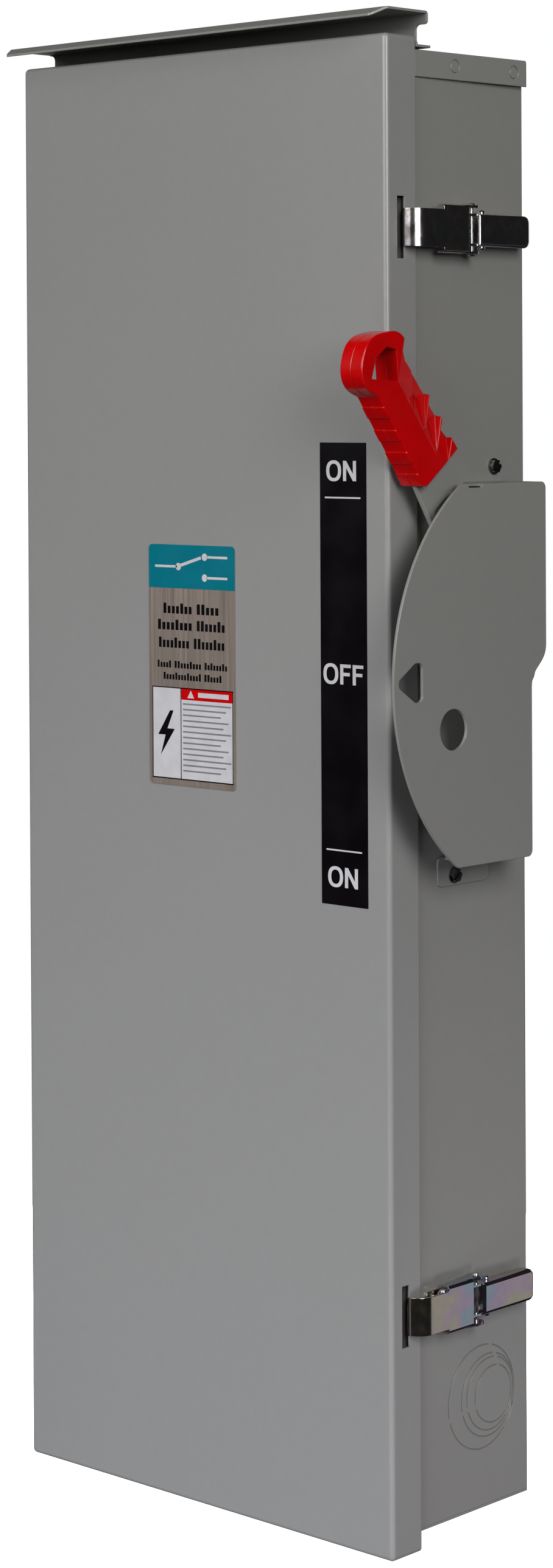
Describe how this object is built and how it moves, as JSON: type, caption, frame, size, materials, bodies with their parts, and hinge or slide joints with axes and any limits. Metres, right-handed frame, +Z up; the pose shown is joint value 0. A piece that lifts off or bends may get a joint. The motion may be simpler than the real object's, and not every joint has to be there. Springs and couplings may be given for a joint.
{
  "type": "double throw safety switch",
  "caption": "Wall-mounted manual transfer switch: tall sheet steel box with hinged door, rain hood, side handle with guard, draw latches, and a three-pole double-throw blade mechanism.",
  "frame": {"origin": "centre of the four wall bolt holes, on the outer back face of the box", "axes": "+X right, -Y towards the door, +Y into the wall, +Z up"},
  "size_m": [0.3458, 0.1773, 0.9118],
  "materials": {
    "enclosure_paint": "satin",
    "door_paint": "satin",
    "arm_paint": "satin",
    "grip_red": "gloss",
    "nameplate_metal": "brushed",
    "band_teal": "satin",
    "panel_white": "satin",
    "label_black": "satin",
    "zinc": "bright zinc plate",
    "plated_pin": "plated",
    "dark_screw": "dark",
    "steel": "satin",
    "bronze": "satin",
    "insulator": "moulded",
    "copper": "satin",
    "alu_lug": "satin",
    "fibre": "matt",
    "arc_steel": "satin"
  },
  "bodies": {
    "enclosure": {"arc_chutes_lower": "fibre", "arc_chutes_upper": "fibre", "arc_plates_lower": "arc_steel", "arc_plates_upper": "arc_steel", "base_screws": "dark_screw", "bottom_end_plate": "enclosure_paint", "drip_hood": "enclosure_paint", "enclosure_wrapper": "enclosure_paint", "ground_bar": "alu_lug", "ground_screws": "dark_screw", "guard_screws": "dark_screw", "handle_guard": "enclosure_paint", "hinge_leaves_box": "enclosure_paint", "hinge_pins": "plated_pin", "latch_base_lower": "zinc", "latch_base_upper": "zinc", "latch_pin_lower": "plated_pin", "latch_pin_upper": "plated_pin", "line_jaws_lower": "copper", "line_jaws_upper": "copper", "line_straps_lower": "copper", "line_straps_upper": "copper", "load_base": "insulator", "load_lugs": "alu_lug", "load_straps": "copper", "lower_line_base": "insulator", "lower_line_lugs": "alu_lug", "lug_screws": "dark_screw", "mounting_pan": "steel", "pan_screws": "dark_screw", "phase_barriers_lower": "fibre", "phase_barriers_upper": "fibre", "shaft_bearing_bracket": "steel", "shaft_bush": "bronze", "top_cap": "enclosure_paint", "upper_line_base": "insulator", "upper_line_lugs": "alu_lug"},
    "door": {"door": "door_paint", "hinge_leaves_door": "door_paint", "nameplate": "nameplate_metal", "colour_band": "band_teal", "warning_panel": "panel_white", "position_label": "label_black"},
    "handle": {"handle_arm": "arm_paint", "grip_outer_half": "grip_red", "grip_inner_half": "grip_red", "grip_rivets": "steel", "operating_shaft": "steel", "hub_rivet": "steel", "rotor_crossbar": "insulator", "moving_blades": "copper", "contact_rings": "copper"},
    "latch_lever_upper": {"latch_lever_upper": "zinc", "strap_pin_upper": "plated_pin"},
    "latch_strap_upper": {"latch_strap_upper": "zinc"},
    "latch_lever_lower": {"latch_lever_lower": "zinc", "strap_pin_lower": "plated_pin"},
    "latch_strap_lower": {"latch_strap_lower": "zinc"}
  },
  "joints": [
    {"name": "door_hinge", "type": "hinge", "parent": "enclosure", "child": "door", "pos_m": [-0.1599, -0.1035, 0], "axis": [0, 0, -1], "range_deg": [0, 110]},
    {"name": "handle_throw", "type": "hinge", "parent": "enclosure", "child": "handle", "pos_m": [0.1675, -0.0217, 0.0695], "axis": [1, 0, 0], "range_deg": [0, 106]},
    {"name": "latch_lever_upper_pivot", "type": "hinge", "parent": "enclosure", "child": "latch_lever_upper", "pos_m": [0.158, -0.088, 0.3345], "axis": [0, 0, -1], "range_deg": [0, 95]},
    {"name": "latch_strap_upper_pivot", "type": "hinge", "parent": "latch_lever_upper", "child": "latch_strap_upper", "pos_m": [0.16, -0.06, 0.3345], "axis": [0, 0, -1], "range_deg": [-95, 0]},
    {"name": "latch_lever_lower_pivot", "type": "hinge", "parent": "enclosure", "child": "latch_lever_lower", "pos_m": [0.158, -0.088, -0.3073], "axis": [0, 0, -1], "range_deg": [0, 95]},
    {"name": "latch_strap_lower_pivot", "type": "hinge", "parent": "latch_lever_lower", "child": "latch_strap_lower", "pos_m": [0.16, -0.06, -0.3073], "axis": [0, 0, -1], "range_deg": [-95, 0]}
  ],
  "couplings": [
    {"joint": "latch_strap_upper_pivot", "follows": "latch_lever_upper_pivot", "ratio": -1},
    {"joint": "latch_strap_lower_pivot", "follows": "latch_lever_lower_pivot", "ratio": -1}
  ]
}
